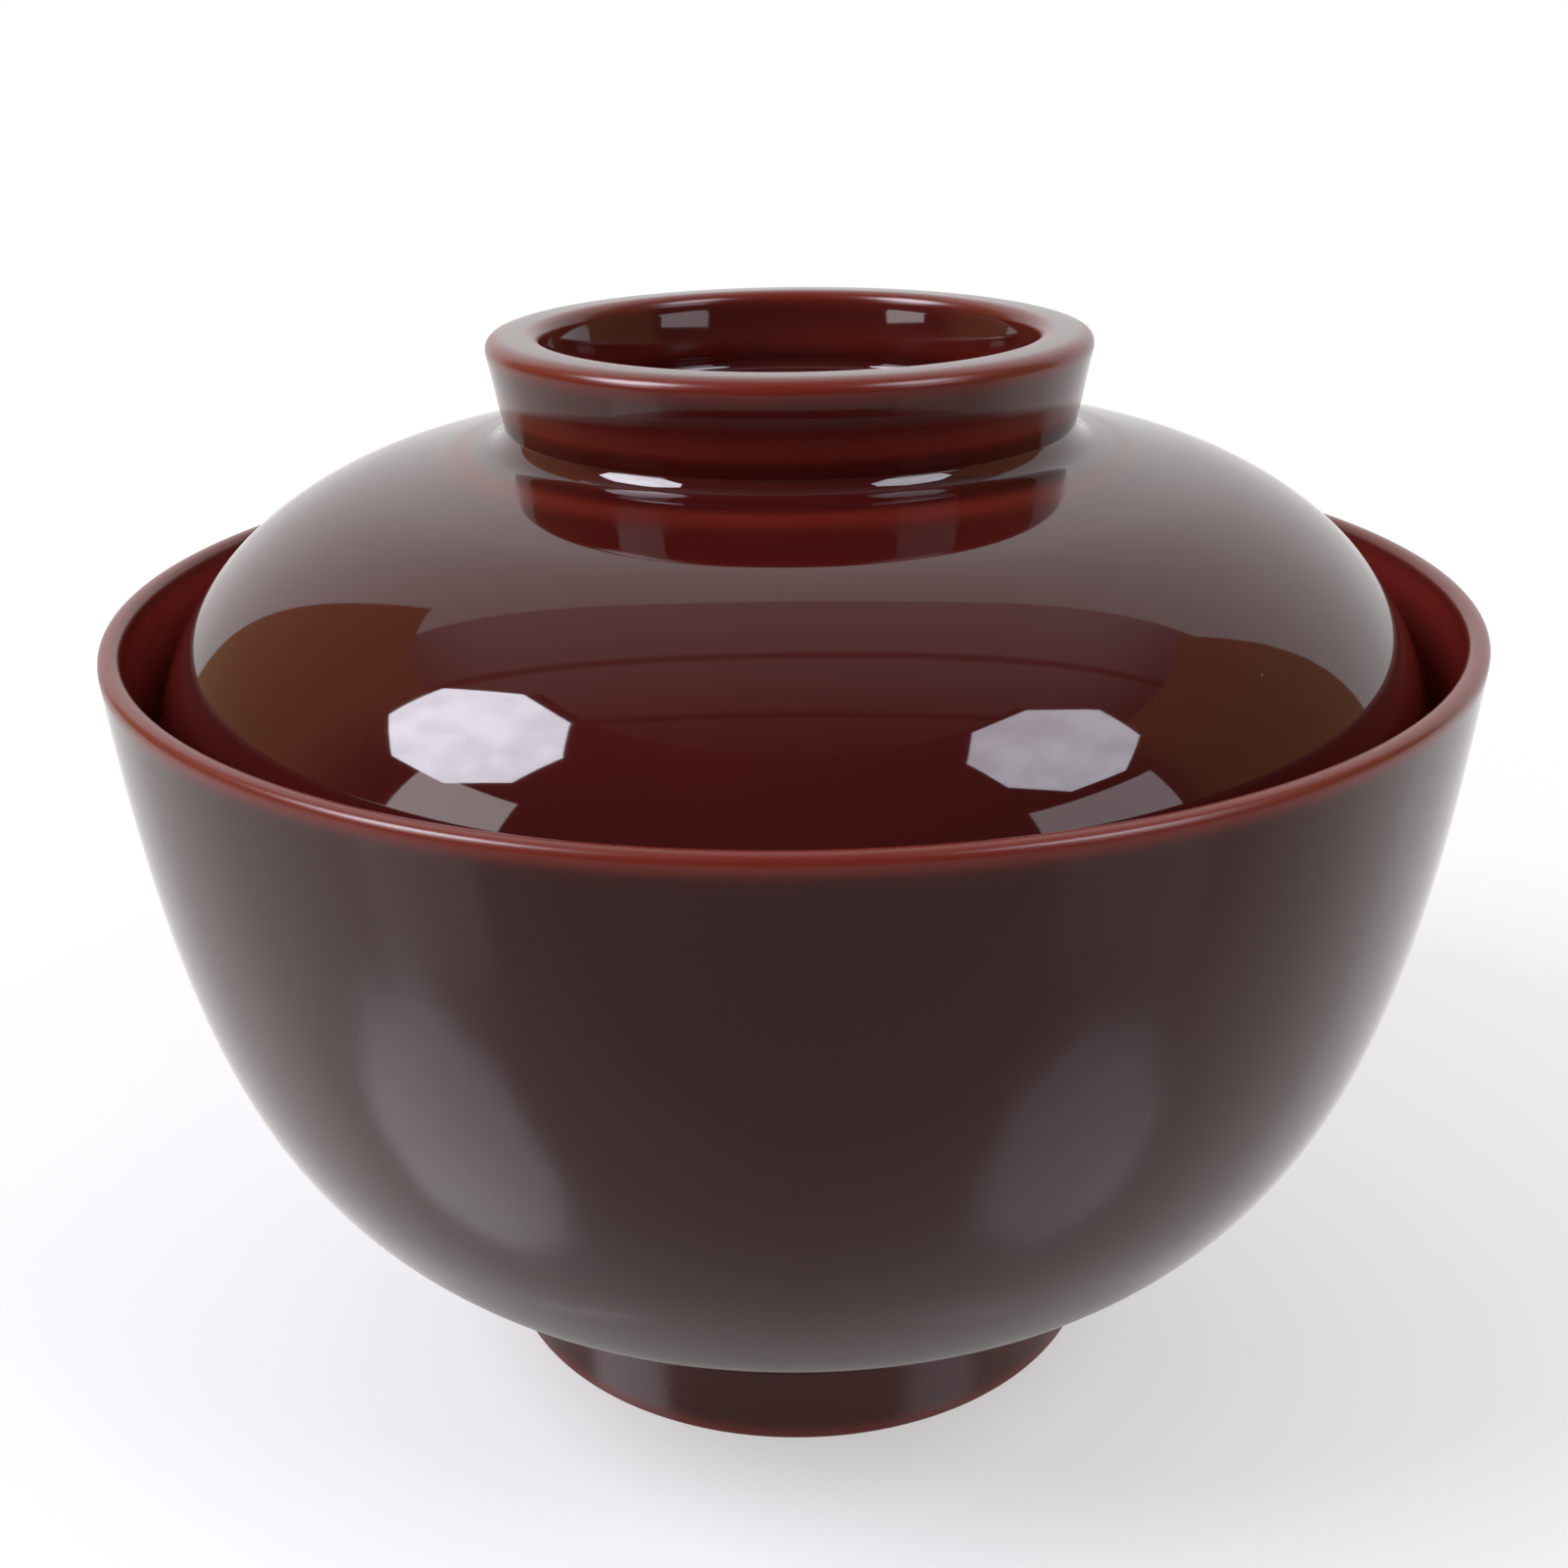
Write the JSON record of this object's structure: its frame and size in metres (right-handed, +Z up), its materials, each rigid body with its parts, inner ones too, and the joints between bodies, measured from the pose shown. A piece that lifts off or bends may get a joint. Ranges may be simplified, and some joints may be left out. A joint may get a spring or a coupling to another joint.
{
  "type": "lidded rice bowl",
  "caption": "Lathe-turned lacquered wooden rice bowl on a foot ring, with a loose domed lid that rests inside the rim and lifts off by a ring on its crown.",
  "frame": {"origin": "centre of the flat face that the foot ring stands on", "axes": "+Z up along the turning axis, through the middle of the lid's grip ring; X and Y are alike"},
  "size_m": [0.125, 0.125, 0.0988],
  "materials": {
    "bowl_lacquer": "dark red-brown translucent lacquer, satin gloss, redder where it thins on the edges",
    "lid_lacquer": "dark red-brown translucent lacquer, polished to a mirror gloss, redder where it thins on the edges"
  },
  "bodies": {
    "bowl": {"bowl": "bowl_lacquer"},
    "lid": {"lid": "lid_lacquer"}
  },
  "joints": [
    {"name": "lid_lift", "type": "slide", "parent": "bowl", "child": "lid", "axis": [0, 0, 1], "range_m": [0, 0.1]}
  ]
}
